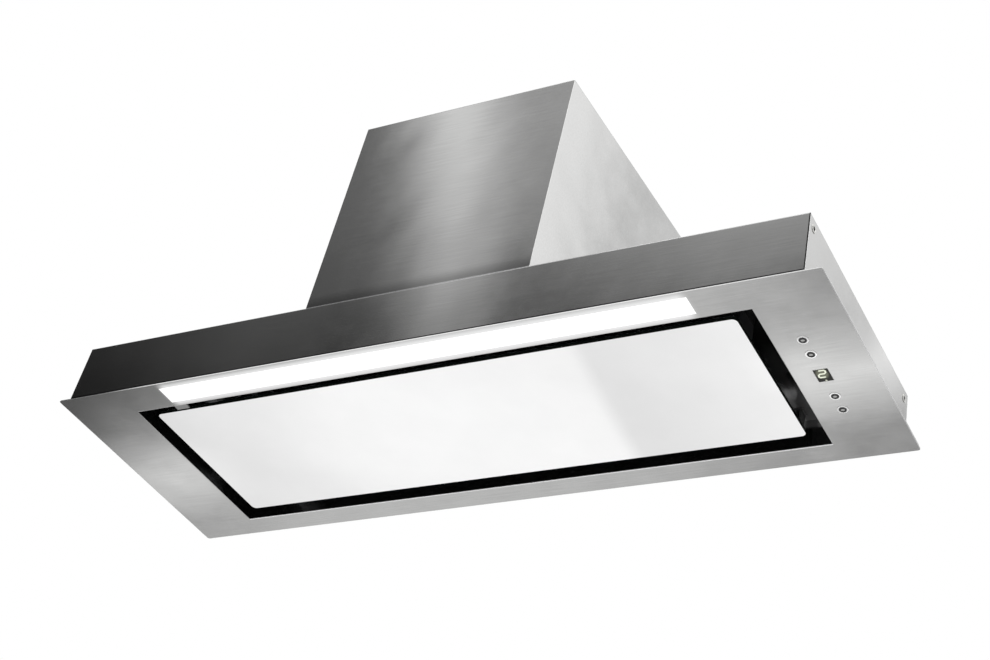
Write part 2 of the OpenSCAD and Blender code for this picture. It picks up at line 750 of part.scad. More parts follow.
// Front and sides of the blower housing, folded from one sheet with flanges inwards
module housing_cover() color("silver") difference() {
    translate([0, 0, tray_top]) {
        linear_extrude(housing_h) difference() {
            housing_plan(0);
            housing_plan(sheet_t, 2 * over);
        }
        linear_extrude(sheet_t) difference() {
            housing_plan(sheet_t);
            housing_plan(sheet_t + housing_flange, 2 * housing_flange);
        }
        both_ends()
            span([housing_rear_w / 2 - sheet_t - housing_flange, housing_rear_w / 2 - sheet_t],
                 [rear_y - 2 * sheet_t, rear_y - sheet_t], [0, housing_h - sheet_t]);
    }
    housing_screw_places() screw_hole();
    back_screw_places() screw_hole();
}

module housing_back() color("silver") difference() {
    span([-housing_rear_w / 2 + sheet_t + slip, housing_rear_w / 2 - sheet_t - slip],
         [rear_y - sheet_t, rear_y], [tray_top, house_top]);
    back_screw_places() screw_hole();
}

// The top sheet of the blower housing, with a skirt inside the walls and the outlet hole
module housing_top() color("silver") difference() {
    union() {
        translate([0, 0, outlet_top]) linear_extrude(sheet_t) intersection() {
            housing_plan(sheet_t);
            translate([0, -sheet_t]) square([housing_rear_w, plate_d], center = true);
        }
        translate([0, 0, house_top - housing_skirt]) linear_extrude(housing_skirt - sheet_t / 2)
            intersection() {
                difference() {
                    housing_plan(sheet_t);
                    housing_plan(2 * sheet_t, 2 * over);
                }
                translate([0, -2 * sheet_t - housing_flange])
                    square([housing_rear_w, plate_d], center = true);
            }
    }
    translate([0, outlet_y, outlet_top - over]) cylinder(h = sheet_t + 2 * over, r = collar_bore_r);
    collar_screw_places() screw_hole();
}

function spiral_r(angle, wall) =
    tongue_r + scroll_growth * (angle - tongue_angle) / (360 - tongue_angle) + wall;

// The angle at which a scroll wall of a given thickness leaves the outlet's front face
function tongue_start(wall) = acos((tongue_r * cos(tongue_angle) - wall) / (tongue_r + wall));

// The scroll's outline, a spiral round the axis that ends in the straight outlet
module scroll_outline(wall, top) {
    start = tongue_start(wall);
    polygon(concat(
        [for (i = [0 : scroll_steps])
            let (angle = start + (360 - start) * i / scroll_steps)
            [axis_y + spiral_r(angle, wall) * cos(angle), axis_z + spiral_r(angle, wall) * sin(angle)]],
        [[outlet_rear + wall, top], [outlet_front - wall, top]]));
}

// The curved sheet round the impeller, with the flange of its outlet under the housing's top
module scroll_wrap() color("lightgray") difference() {
    union() {
        along_x([-scroll_half, scroll_half]) scroll_outline(scroll_t, outlet_top);
        span([-scroll_half - scroll_t - outlet_flange, scroll_half + scroll_t + outlet_flange],
             [outlet_front - scroll_t - outlet_flange, outlet_rear + scroll_t + outlet_flange],
             [outlet_top - scroll_t, outlet_top]);
    }
    along_x([-scroll_half - over, scroll_half + over]) scroll_outline(0, outlet_top + over);
    for (side = [-1, 1]) along_x([side * scroll_half - (1 - side) / 2 * scroll_t,
                                  side * scroll_half + (1 + side) / 2 * scroll_t])
        scroll_outline(scroll_t, outlet_top - scroll_t);
    collar_screw_places() screw_hole();
}

// One side of the scroll, with the rolled lip of its air inlet
module scroll_side(side) color("lightgray") mirror([side < 0 ? 1 : 0, 0, 0]) {
    hole_r = inlet_r + inlet_lip + scroll_t;
    difference() {
        along_x([scroll_half, scroll_half + scroll_t]) scroll_outline(scroll_t, outlet_top - scroll_t);
        translate([0, axis_y, axis_z]) rotate([0, 90, 0])
            cylinder(h = scroll_half + scroll_t + over, r = hole_r);
        if (side < 0) bracket_screw_places() screw_hole();
    }
    translate([scroll_half, axis_y, axis_z]) rotate([0, 90, 0]) rotate_extrude() intersection() {
        translate([hole_r, -inlet_lip]) difference() {
            circle(r = inlet_lip + scroll_t);
            circle(r = inlet_lip);
        }
        translate([hole_r - 2 * inlet_lip, -inlet_lip]) square(2 * inlet_lip);
    }
}

function blade_point(share, side) =
    let (r = blade_root_r + share * blade_depth,
         angle = blade_sweep * share * share + side * blade_t / 2 / r * 180 / PI)
    [r * cos(angle), r * sin(angle)];

// The squirrel-cage impeller: forward-curved blades between end rings, a middle disc and its hub
module impeller() color("gainsboro") translate([0, axis_y, axis_z]) {
    along_x([-impeller_w / 2, impeller_w / 2])
        for (n = [0 : blade_n - 1]) rotate(n * 360 / blade_n)
            polygon(concat([for (i = [0 : blade_steps]) blade_point(i / blade_steps, -1)],
                           [for (i = [blade_steps : -1 : 0]) blade_point(i / blade_steps, 1)]));
    for (x = [-impeller_w / 2, impeller_w / 2 - impeller_ring_w])
        along_x([x, x + impeller_ring_w]) difference() {
            circle(r = impeller_r);
            circle(r = impeller_r - impeller_ring_depth);
        }
    along_x([-impeller_disc_t / 2, impeller_disc_t / 2]) difference() {
        circle(r = impeller_r);
        circle(r = shaft_r);
    }
    along_x([-hub_front, hub_rear]) difference() {
        circle(r = hub_r);
        circle(r = shaft_r);
    }
}

module motor_shaft() color("silver") translate([0, axis_y, axis_z])
    along_x([motor_x + motor_bell, hub_rear]) circle(r = shaft_r);

// The motor, a can with a smaller bell at the impeller's end
module motor_case() color("gray") translate([0, axis_y, axis_z]) difference() {
    union() {
        along_x([motor_x, motor_end - motor_bell]) circle(r = motor_r);
        along_x([motor_x, motor_end]) circle(r = motor_bell_r);
    }
    along_x([motor_x + motor_bell, motor_end + over]) circle(r = shaft_r + shaft_clear);
}

// Three arms across the left inlet that hold the motor
module motor_bracket() color("dimgray") difference() {
    union() {
        translate([motor_x - bracket_t, axis_y, axis_z]) along_x([0, bracket_t])
            circle(r = motor_bell_r);
        for (n = [0 : 2]) translate([0, axis_y, axis_z]) rotate([n * 120, 0, 0]) {
            span([motor_x - bracket_t, motor_x], [-bracket_arm_w / 2, bracket_arm_w / 2],
                 [0, bracket_foot_r + bracket_foot_w]);
            span([motor_x - bracket_t, motor_x + bracket_stand], [-bracket_arm_w / 2, bracket_arm_w / 2],
                 [bracket_foot_r - bracket_t, bracket_foot_r]);
            span([motor_x + bracket_stand - bracket_t, motor_x + bracket_stand],
                 [-bracket_arm_w / 2, bracket_arm_w / 2],
                 [bracket_foot_r - bracket_t, bracket_foot_r + bracket_foot_w]);
        }
    }
    mirror([1, 0, 0]) bracket_screw_places() screw_hole();
}

module bracket_screw_places()
    for (n = [0 : 2]) translate([-motor_x - bracket_stand + bracket_t, axis_y, axis_z])
        rotate([-n * 120, 0, 0]) translate([0, 0, bracket_foot_r + bracket_foot_w / 2])
            rotate([0, 90, 0]) children();

module capacitor() color("white") translate([0, axis_y, axis_z])
    rotate([capacitor_angle - 90, 0, 0])
        translate([scroll_half + scroll_t, 0, inlet_r + inlet_lip + 2 * scroll_t + capacitor_r]) {
            along_x([0, capacitor_l - capacitor_cap]) circle(r = capacitor_r);
            along_x([0, capacitor_l]) circle(r = capacitor_r - capacitor_cap);
        }

module collar_screw_places()
    for (x = [-1, 1], y = [-1, 1])
        translate([x * collar_screw_r * cos(collar_screw_angle),
                   outlet_y + y * collar_screw_r * sin(collar_screw_angle), collar_base]) children();

// The plastic spigot for the duct, with the seat that the flaps close on
module duct_collar() color("dimgray") difference() {
    translate([0, outlet_y, 0]) union() {
        translate([0, 0, house_top]) cylinder(h = collar_flange_t, r = collar_flange_r);
        translate([0, 0, house_top]) cylinder(h = collar_top - house_top, r = collar_r);
    }
    translate([0, outlet_y, house_top - over]) {
        cylinder(h = flap_seat_z - house_top + over, r = collar_bore_r);
        cylinder(h = collar_top - house_top + 2 * over, r = collar_bore_r - flap_seat_w);
    }
    translate([0, outlet_y, flap_seat_z + flap_seat_t])
        cylinder(h = collar_top - flap_seat_z, r = collar_bore_r);
    along_x([-collar_r - over, collar_r + over]) translate([outlet_y, flap_z]) circle(r = flap_pin_r);
    collar_screw_places() screw_hole();
}

module flap_pin() color("silver")
    along_x([-collar_r + slip, collar_r - slip]) translate([outlet_y, flap_z]) circle(r = flap_pin_r);

// Half a disc with barrels round the pin, cut away at the other flap's barrels
module flap(side, barrels, others) color("lightgray") translate([0, outlet_y, flap_z]) {
    reach = flap_barrel_r + flap_gap;
    difference() {
        union() {
            translate([0, 0, -flap_barrel_r]) linear_extrude(flap_t) intersection() {
                circle(r = flap_r);
                translate([-flap_r, side > 0 ? 0 : -flap_r]) square([2 * flap_r, flap_r]);
            }
            for (b = barrels) along_x(b * flap_r) circle(r = flap_barrel_r);
        }
        along_x([-flap_r - over, flap_r + over]) circle(r = flap_pin_r + flap_clear);
        for (b = others)
            span([b[0] * flap_r - flap_gap, b[1] * flap_r + flap_gap], [-reach, reach],
                 [-flap_barrel_r - over, flap_barrel_r]);
        for (gap = [[-1, barrels[0][0]], [barrels[0][1], barrels[1][0]], [barrels[1][1], 1]])
            span(gap * flap_r, [-reach, reach], [-flap_barrel_r - over, flap_barrel_r]);
    }
}

// The box for the mains terminals, hung from the tray's top in its left end
module terminal_box() color("white") translate([terminal_x, gland_y, 0]) difference() {
    span([-terminal_w / 2, terminal_w / 2], [-terminal_d / 2, terminal_d / 2],
         [tray_top - sheet_t - terminal_h, tray_top - sheet_t]);
    span([-terminal_w / 2 + terminal_wall, terminal_w / 2 - terminal_wall],
         [-terminal_d / 2 + terminal_wall, terminal_d / 2 - terminal_wall],
         [tray_top - sheet_t - terminal_h - over, tray_top - sheet_t - terminal_wall]);
    translate([0, 0, tray_top - sheet_t - terminal_wall - over])
        cylinder(h = terminal_wall + 2 * over, r = cable_r + gland_wall);
}

module terminal_cover() color("white") translate([terminal_x, gland_y, 0])
    span([-terminal_w / 2, terminal_w / 2], [-terminal_d / 2, terminal_d / 2],
         [tray_top - sheet_t - terminal_h - terminal_wall, tray_top - sheet_t - terminal_h]);

// The terminal strip on the box's cover, with a way for each wire
module terminal_block() color("ivory")
    translate([terminal_x, gland_y, tray_top - sheet_t - terminal_h]) difference() {
        span([-terminal_block_w / 2, terminal_block_w / 2], [-terminal_block_l / 2, terminal_block_l / 2],
             [0, terminal_block_h]);
        for (n = [-2 : 2]) translate([0, n * terminal_way, terminal_block_h / 2]) rotate([0, 90, 0])
            cylinder(h = terminal_block_w + 2 * over, r = terminal_way / 4, center = true);
    }

// The gland that the mains cable comes in through, bored for the cable
module cable_gland() color("dimgray") translate([terminal_x, gland_y, 0]) difference() {
    union() {
        translate([0, 0, tray_top - sheet_t - terminal_wall])
            cylinder(h = sheet_t + terminal_wall + gland_rise, r = cable_r + gland_wall);
        translate([0, 0, tray_top]) cylinder(h = gland_flange_t, r = gland_flange_r);
        translate([0, 0, tray_top + gland_rise / 2])
            cylinder(h = gland_rise / 3, r = cable_r + gland_wall + gland_nut_w, $fn = 12);
    }
    translate([0, 0, tray_top - sheet_t - terminal_wall - over])
        cylinder(h = sheet_t + terminal_wall + gland_rise + 2 * over, r = cable_r + slip);
}

face_plate();
body_shell();
front_fascia();
intake_frame();
filter_clips();
hinge_brackets();
hinge_pins();
panel_catches();
glass_panel();
panel_pan();
hinge_arms();
panel_strikes();
at_filter(-1) filter_frame();  // filter_left_frame
at_filter(-1) filter_mesh();  // filter_left_mesh
at_filter(-1) filter_pull();  // filter_left_pull
at_filter(1) filter_frame();  // filter_right_frame
at_filter(1) filter_mesh();  // filter_right_mesh
at_filter(1) filter_pull();  // filter_right_pull
lamp_profile();
lamp_board();
lamp_diffuser();
lamp_driver();
control_box();
control_board();
tactile_switches();
display_module();
display_lens();
button_bezels();
button(0);  // button_1
button(1);  // button_2
button(2);  // button_3
button(3);  // button_4
housing_cover();
housing_back();
housing_top();
scroll_wrap();
scroll_side(-1);  // scroll_side_left
scroll_side(1);  // scroll_side_right
impeller();
motor_shaft();
motor_case();
motor_bracket();
capacitor();
duct_collar();
flap_pin();
flap(-1, front_barrel_shares, rear_barrel_shares);  // front_flap
flap(1, rear_barrel_shares, front_barrel_shares);  // rear_flap
terminal_box();
terminal_cover();
terminal_block();
cable_gland();
color("silver") collar_screw_places() screw();  // collar_screws
color("silver") back_screw_places() screw();  // back_screws
color("silver") mirror([1, 0, 0]) bracket_screw_places() screw();  // bracket_screws
color("silver") housing_screw_places() screw();  // housing_screws
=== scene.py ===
import math

import bpy
from mathutils import Matrix, Vector


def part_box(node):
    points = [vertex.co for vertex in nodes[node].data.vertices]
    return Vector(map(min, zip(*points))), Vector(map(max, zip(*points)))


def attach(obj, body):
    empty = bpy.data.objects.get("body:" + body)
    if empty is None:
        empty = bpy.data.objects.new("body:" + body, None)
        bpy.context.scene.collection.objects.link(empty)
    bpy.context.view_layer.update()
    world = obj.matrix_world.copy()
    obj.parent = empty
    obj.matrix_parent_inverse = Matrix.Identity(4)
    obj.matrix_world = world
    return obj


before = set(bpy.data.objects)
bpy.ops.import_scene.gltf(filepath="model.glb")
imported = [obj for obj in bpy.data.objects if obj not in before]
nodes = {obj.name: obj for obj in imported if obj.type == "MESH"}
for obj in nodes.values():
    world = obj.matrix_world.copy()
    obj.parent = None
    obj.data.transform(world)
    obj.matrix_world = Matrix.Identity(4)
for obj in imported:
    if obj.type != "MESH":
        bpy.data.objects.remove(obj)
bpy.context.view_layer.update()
scene = bpy.context.scene


# Camera: it stands below the hood, in front of it and to its right, and keeps the hood off the
# middle of the picture. Its lens and its place come from the hood's straight edges.
CAMERA_PLACE = (0.91093, -1.20427, -0.98555)
CAMERA_RIGHT = (0.89049, 0.42602, 0.15979)
CAMERA_UP = (0.16672, -0.63227, 0.75659)
CAMERA_BACK = (0.42336, -0.6471, -0.63406)
SENSOR_MM = 36
LENS_MM = 61.505
SHIFT_X, SHIFT_Y = -0.1056, -0.0646
FARTHEST_SEEN = 60
camera = bpy.data.objects.new("camera", bpy.data.cameras.new("camera"))
scene.collection.objects.link(camera)
camera_turn = Matrix((CAMERA_RIGHT, CAMERA_UP, CAMERA_BACK)).transposed().to_4x4()
camera.matrix_world = Matrix.Translation(CAMERA_PLACE) @ camera_turn
camera.data.sensor_width = SENSOR_MM
camera.data.lens = LENS_MM
camera.data.shift_x = SHIFT_X
camera.data.shift_y = SHIFT_Y
camera.data.clip_end = FARTHEST_SEEN
scene.camera = camera


# Floor and light: a plain pale floor well under the hood, an even white room round it, and two
# soft lamps, one below the plate and one above the tray.
FLOOR_Z, FLOOR_HALF = -2.9, 30
FLOOR_GREY, FLOOR_ROUGHNESS = 0.86, 0.8
ROOM_LEVEL = 0.6


def shape(name, points, faces):
    """A new object of one mesh."""
    mesh = bpy.data.meshes.new(name)
    mesh.from_pydata(points, [], faces)
    made = bpy.data.objects.new(name, mesh)
    scene.collection.objects.link(made)
    return made


def fill(tree, made, inputs):
    """Sets a node's inputs to values, or joins them to other nodes' outputs."""
    for socket, value in inputs.items():
        if isinstance(value, bpy.types.NodeSocket):
            tree.links.new(value, made.inputs[socket])
        else:
            made.inputs[socket].default_value = value


def add_node(tree, kind, inputs=None, **settings):
    """A new shader node with its settings and inputs."""
    made = tree.nodes.new("ShaderNode" + kind)
    for name, value in settings.items():
        setattr(made, name, value)
    fill(tree, made, inputs or {})
    return made


def computed(tree, operation, *terms):
    """One number from others."""
    return add_node(tree, "Math", dict(enumerate(terms)), operation=operation).outputs[0]


def new_material(name):
    """A new material, its nodes and its main shader."""
    made = bpy.data.materials.new(name)
    made.use_nodes = True
    return made, made.node_tree, made.node_tree.nodes["Principled BSDF"]


def lamp(name, place, target, size, watts):
    """A soft square lamp that points from its place to a target."""
    light = bpy.data.lights.new(name, "AREA")
    light.shape = "SQUARE"
    light.size = size
    light.energy = watts
    made = bpy.data.objects.new(name, light)
    scene.collection.objects.link(made)
    made.location = place
    made.rotation_euler = (Vector(target) - Vector(place)).to_track_quat("-Z", "Y").to_euler()
    made.visible_camera = False
    made.visible_glossy = False


floor_corners = [(x * FLOOR_HALF, y * FLOOR_HALF, FLOOR_Z) for x, y in ((-1, -1), (1, -1), (1, 1), (-1, 1))]
floor = shape("floor", floor_corners, [(0, 1, 2, 3)])
floor_paint, floor_tree, floor_shader = new_material("pale_floor")
fill(floor_tree, floor_shader, {"Base Color": (FLOOR_GREY, FLOOR_GREY, FLOOR_GREY, 1),
                                "Roughness": FLOOR_ROUGHNESS})
floor.data.materials.append(floor_paint)

scene.world = bpy.data.worlds.new("room")
scene.world.use_nodes = True
room = scene.world.node_tree
room.nodes.clear()
rays = add_node(room, "LightPath").outputs
seen = computed(room, "MAXIMUM", rays["Is Camera Ray"], rays["Is Glossy Ray"])
seen = computed(room, "MAXIMUM", seen, rays["Is Transmission Ray"])
room_level = add_node(room, "MapRange", {"Value": seen, "To Min": ROOM_LEVEL, "To Max": 1})
room_light = add_node(room, "Background", {"Color": (1, 1, 1, 1), "Strength": room_level.outputs[0]})
add_node(room, "OutputWorld", {"Surface": room_light.outputs[0]})
scene.view_settings.view_transform = "Standard"
lamp("lamp_below", place=(0.6, -1, -2.5), target=(0, 0, 0), size=2.4, watts=32)
lamp("lamp_above", place=(1.6, -1.8, 2.6), target=(0, 0, 0.1), size=2, watts=40)


# Reflections: bare steel and glass show the room that they hang in, and plain grey cards stand for
# it. Only gloss sees them. A card's levels are listed, in columns times shares in rows.
FRONT_AWAY, FRONT_LEAN, FRONT_UPRIGHT = 3, 0.016, 43
BELOW_AWAY = 2.6
STRIP_Z = -0.6
WALL_AWAY, WALL_LEAN, WALL_UPRIGHT = 30, -0.31, 58


def reflector(name, points, levels, wide, clear=False):
    """A card from rows of points with a level each. A clear one adds to what is behind it."""
    made = shape(name, points, [(n, n + 1, n + wide + 1, n + wide)
                                for n in range(len(points) - wide) if (n + 1) % wide])
    made.data.attributes.new("level", "FLOAT", "POINT").data.foreach_set("value", levels)
    paper = bpy.data.materials.new(name)
    paper.use_nodes = True
    paper.cycles.emission_sampling = "NONE"
    tree = paper.node_tree
    tree.nodes.clear()
    level = add_node(tree, "Attribute", attribute_name="level").outputs["Fac"]
    front = add_node(tree, "Emission", {"Strength": level})
    if clear:
        air = add_node(tree, "BsdfTransparent")
        front = add_node(tree, "AddShader", {0: front.outputs[0], 1: air.outputs[0]})
    add_node(tree, "OutputMaterial", {"Surface": front.outputs[0]})
    made.data.materials.append(paper)
    made.visible_camera = made.visible_diffuse = made.visible_shadow = False
    made.visible_transmission = False
    return made


def curved(name, away, columns, rows, clear=False, lean=0.0, upright=0.0):
    """A card bent round the hood, with columns by azimuth, 0 at the front, and rows by elevation. A lean
    turns the columns by that many degrees for each degree of elevation above the upright one."""
    points, levels = [], []
    for elevation, share in rows.items():
        for azimuth, level in columns.items():
            a, e = math.radians(azimuth + lean * (elevation - upright)), math.radians(elevation)
            points.append((away * math.sin(a) * math.cos(e), -away * math.cos(a) * math.cos(e),
                           away * math.sin(e)))
            levels.append(level * share)
    return reflector(name, points, levels, len(columns), clear)


def strip(name, columns, rows):
    """A flat clear card under the hood, with columns by X and rows by Y."""
    points = [(x, y, STRIP_Z) for y in rows for x in columns]
    levels = [level * share for share in rows.values() for level in columns.values()]
    return reflector(name, points, levels, len(columns), clear=True)


def arched(name, away, columns, rows, lean, upright, over="x"):
    """A card bent round the X or Y axis, with columns along the axis and rows by height angle. A lean
    moves the columns by that much for each degree above the upright angle."""
    points, levels = [], []
    for angle, share in rows.items():
        for along, level in columns.items():
            a = math.radians(angle)
            place = along + lean * (angle - upright)
            if over == "x":
                points.append((place, -away * math.cos(a), away * math.sin(a)))
            else:
                points.append((away * math.cos(a), place, away * math.sin(a)))
            levels.append(level * share)
    return reflector(name, points, levels, len(columns))


# A tall narrow strip of light leans between a black card on its left and a grey one on its right.
# The tray's front looks at the low cards, and darkens towards its lower edge
arched("cards_low", FRONT_AWAY,
       {-7: 0.02, -3.4: 0.024, -2.96: 0.034, -2.7: 0.073, -2.35: 0.14, -2.16: 0.121, -1.97: 0.09,
        -1.86: 0.17, -1.75: 0.49, -1.67: 0.79, -1.61: 0.7, -1.51: 0.38, -1.38: 0.12, -1.25: 0.2, -1.12: 0.3,
        -0.96: 0.375, -0.81: 0.43, -0.66: 0.48, -0.6: 0.46, -0.53: 0.41, -0.4: 0.41, 0: 0.58, 0.8: 1,
        4: 1.1},
       {-40: 1, 0: 1, 20: 0.6, 39.5: 0.3, 41: 0.54, 42: 0.83, 43: 1, 44.6: 1.1}, FRONT_LEAN, FRONT_UPRIGHT)
# The blower housing's front looks at the high cards
arched("cards_high", FRONT_AWAY,
       {-7: 0.03, -3.4: 0.03, -2.7: 0.045, -2.2: 0.12, -2: 0.13, -1.9: 0.13, -1.87: 0.15, -1.81: 0.215,
        -1.74: 0.48, -1.68: 0.61, -1.63: 0.73, -1.58: 0.7, -1.53: 0.58, -1.47: 0.44, -1.4: 0.32, -1.33: 0.3,
        -1.2: 0.33, -0.9: 0.42, 0: 0.7, 0.8: 1, 4: 1.1},
       {44.6: 1.08, 46: 1.19, 49: 1.46, 52: 1.55, 54: 1.65, 62: 1.85, 68: 2.5, 88: 3}, FRONT_LEAN,
       FRONT_UPRIGHT)
# The plate looks at a pale card under the hood, which ends in a darker one at each end
curved("cards_below", BELOW_AWAY,
       {-100: 0.13, -119: 0.15, -121: 0.2, -123: 0.28, -125: 0.4, -126.5: 0.52, -130: 0.55, -134: 0.8,
        -152: 0.78, -158: 0.72, -164: 0.58, -170: 0.44, -180: 0.38},
       {-62: 1.1, -44: 1.1, -36: 1, -24: 1, -10: 0.8})
# Two short strip lights show as the bright patches at the plate's ends
strip("strip_left", {-1.42: 0, -1.32: 0.85, -1.12: 0.85, -1.04: 0},
      {0.65: 0, 0.71: 1, 0.77: 1, 0.8: 0.85, 0.83: 0.45, 0.86: 0})
strip("strip_right", {-0.04: 0, 0.04: 1.4, 0.2: 1.4, 0.34: 0}, {0.66: 0, 0.72: 1, 0.75: 1, 0.82: 0})
# The right sides of the housing and the tray look at a far pale wall with soft shades on it
arched("wall_right", WALL_AWAY,
       {-10: 1.15, 17: 1.2, 18.2: 1.42, 18.8: 1.5, 19.4: 1.3, 20: 0.9, 20.8: 0.7, 22: 0.8, 23.2: 0.95,
        26: 0.9, 28: 0.93, 29.5: 1.03, 31: 0.95, 32.4: 0.75, 33.5: 0.75, 34.2: 1.15, 34.8: 1.55, 35.4: 1.4,
        36: 0.85, 36.6: 0.4, 38: 0.42, 39: 0.8, 42: 0.9, 60: 1},
       {-30: 1, 20: 1, 60: 1, 80: 1}, WALL_LEAN, WALL_UPRIGHT, "y")


# Stainless sheet: the plate, the tray and the blower housing are folded from the same sheet,
# brushed in long parallel strokes and left bare, so that light spreads across the strokes.
NUMBER, COLOUR, VECTOR = "NodeSocketFloat", "NodeSocketColor", "NodeSocketVector"
STROKE_LENGTH, STROKE_COUNT, STROKE_DEPTH = 16, 420, 0.0002
CLOUD_SCALE = 24
WAVE_SCALE, WAVE_DEPTH = 11, 0.0004
DARK_SUM, PALE_SUM = 0.7, 1.3
FOLD_RADIUS = 0.0009
ALMOST_UP = (0, 0.05, 1)
QUARTER_TURN = 0.25


def new_group(name, inputs, outputs):
    """A node group with named inputs and outputs, and the two nodes in it that hold them."""
    made = bpy.data.node_groups.new(name, "ShaderNodeTree")
    for label, (kind, value) in inputs.items():
        socket = made.interface.new_socket(name=label, in_out="INPUT", socket_type=kind)
        socket.default_value = value
    for label, kind in outputs.items():
        made.interface.new_socket(name=label, in_out="OUTPUT", socket_type=kind)
    return made, made.nodes.new("NodeGroupInput").outputs, made.nodes.new("NodeGroupOutput")


brushed, brushed_in, brushed_out = new_group(
    "brushed_strokes",
    {"Stroke Length": (NUMBER, STROKE_LENGTH), "Stroke Count": (NUMBER, STROKE_COUNT),
     "Dark": (COLOUR, (0.5, 0.5, 0.5, 1)), "Light": (COLOUR, (0.6, 0.6, 0.6, 1))},
    {"Strokes": NUMBER, "Clouds": NUMBER, "Waves": NUMBER, "Color": COLOUR})
on_sheet = add_node(brushed, "TexCoord").outputs["Object"]
stretch = add_node(brushed, "CombineXYZ", {"X": brushed_in["Stroke Length"], "Y": brushed_in["Stroke Count"],
                                           "Z": brushed_in["Stroke Count"]}).outputs[0]
stretched = add_node(brushed, "VectorMath", {0: on_sheet, 1: stretch}, operation="MULTIPLY").outputs[0]
strokes = add_node(brushed, "TexNoise", {"Vector": stretched, "Scale": 1, "Detail": 3,
                                         "Roughness": 0.65}).outputs["Fac"]
clouds = add_node(brushed, "TexNoise", {"Vector": on_sheet, "Scale": CLOUD_SCALE, "Detail": 5,
                                        "Roughness": 0.6}).outputs["Fac"]
waves = add_node(brushed, "TexNoise", {"Vector": on_sheet, "Scale": WAVE_SCALE, "Detail": 1}).outputs["Fac"]
pale_share = add_node(brushed, "MapRange", {"Value": computed(brushed, "ADD", strokes, clouds),
                                            "From Min": DARK_SUM, "From Max": PALE_SUM}).outputs[0]
sheet_colour = add_node(brushed, "MixRGB", {"Fac": pale_share, "Color1": brushed_in["Dark"],
                                            "Color2": brushed_in["Light"]}).outputs[0]
fill(brushed, brushed_out, {"Strokes": strokes, "Clouds": clouds, "Waves": waves, "Color": sheet_colour})


def brushed_sheet(name, dark, light, roughness, stroke_count=STROKE_COUNT, depth=0.05, anisotropy=0.55,
                  fold=0.0):
    """Metal brushed along X, or along Y where the face looks left or right. Its colour goes from dark to
    light and its roughness through its range, and its folds can be softened to a radius."""
    made, tree, shader = new_material(name)
    marks = add_node(tree, "Group", {"Stroke Length": STROKE_LENGTH, "Stroke Count": stroke_count,
                                     "Dark": (*dark, 1), "Light": (*light, 1)}, node_tree=brushed).outputs
    gloss = add_node(tree, "MapRange", {"Value": marks["Clouds"], "From Min": 0.3, "From Max": 0.7,
                                        "To Min": roughness[0], "To Max": roughness[1]})
    wave = add_node(tree, "Bump", {"Height": marks["Waves"], "Strength": 1, "Distance": WAVE_DEPTH})
    if fold:
        fill(tree, wave, {"Normal": add_node(tree, "Bevel", {"Radius": fold}, samples=6).outputs[0]})
    bump = add_node(tree, "Bump", {"Height": marks["Strokes"], "Normal": wave.outputs[0],
                                   "Strength": depth, "Distance": STROKE_DEPTH})
    facing = add_node(tree, "NewGeometry").outputs["True Normal"]
    along = add_node(tree, "VectorMath", {0: facing, 1: ALMOST_UP}, operation="CROSS_PRODUCT")
    fill(tree, shader, {"Base Color": marks["Color"], "Metallic": 1, "Roughness": gloss.outputs[0],
                        "Anisotropic": anisotropy, "Anisotropic Rotation": QUARTER_TURN,
                        "Normal": bump.outputs[0], "Tangent": along.outputs[0]})
    return made


def near(tree, value, centre, half, soft):
    """1 where a value lies within half of a centre, falling to 0 over a soft edge."""
    away = computed(tree, "ABSOLUTE", computed(tree, "SUBTRACT", value, centre))
    return add_node(tree, "MapRange", {"Value": away, "From Min": half, "From Max": half + soft,
                                       "To Min": 1, "To Max": 0}, interpolation_type="SMOOTHSTEP").outputs[0]


def where_all(tree, mask, *others):
    """A mask that shows where all the given ones do."""
    for other in others:
        mask = computed(tree, "MULTIPLY", mask, other)
    return mask


def laid_over(material, layers):
    """Lays colours over a material's own in turn, each with the mask that shows it."""
    tree = material.node_tree
    shader = tree.nodes["Principled BSDF"]
    colour = shader.inputs["Base Color"].links[0].from_socket
    for mask, over, blend in layers:
        colour = add_node(tree, "MixRGB", {"Fac": mask, "Color1": colour, "Color2": (*over, 1)},
                          blend_type=blend).outputs[0]
    fill(tree, shader, {"Base Color": colour})


def paint(names, material):
    """Puts one material on CAD nodes."""
    for name in names:
        mesh = nodes[name].data
        mesh.materials.clear()
        mesh.materials.append(material)


# Painted light on the sheet: painted shade in the open seams round the tray's front and over the housing's
# foot, painted highlights on cut edges, folds and hems, and the lamp's light painted on the plate round its
# slot
SHEET = 0.0008
DUCT_FLANGE = 0.004
CRISP, SHARP, SOFT = 0.0001, 0.0002, 0.0003
FRONT_FACE_HALF = 0.0005
FOOT_SEAM_UP, FOOT_SEAM_HALF, CORNER_SEAM_HALF = 0.0003, 0.0006, 0.0009
FRONT_CUT_X, FRONT_CUT_HALF, FRONT_CUT_SOFT = 0.06, 0.38, 0.08
FRONT_CUT_DEPTH, REAR_CUT_DEPTH, REAR_CUT_SOFT = 0.0003, 0.0009, 0.0005
SHADE_RISE, SHADE_START = 0.018, 0.00005
GLOW_SHORT, GLOW_END_SOFT, GLOW_REACH, GLOW_LEVEL = 0.01, 0.014, 0.0115, 0.72
sheet_light, _, sheet_light_out = new_group("painted_sheet_light", {}, {"Seam": NUMBER, "Cut Highlight": NUMBER, "Fold Highlight": NUMBER,
                                                     "Hem Highlight": NUMBER, "Foot Shade": NUMBER, "Glow": COLOUR})
on_hood = add_node(sheet_light, "TexCoord").outputs["Object"]
x_at, y_at, z_at = add_node(sheet_light, "SeparateXYZ", {0: on_hood}).outputs
x_away = computed(sheet_light, "ABSOLUTE", x_at)
plate_low, plate_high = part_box("face_plate")
tray_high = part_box("body_shell")[1]
fascia_low, fascia_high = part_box("front_fascia")
duct_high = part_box("intake_frame")[1]
slot_low, slot_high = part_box("lamp_diffuser")
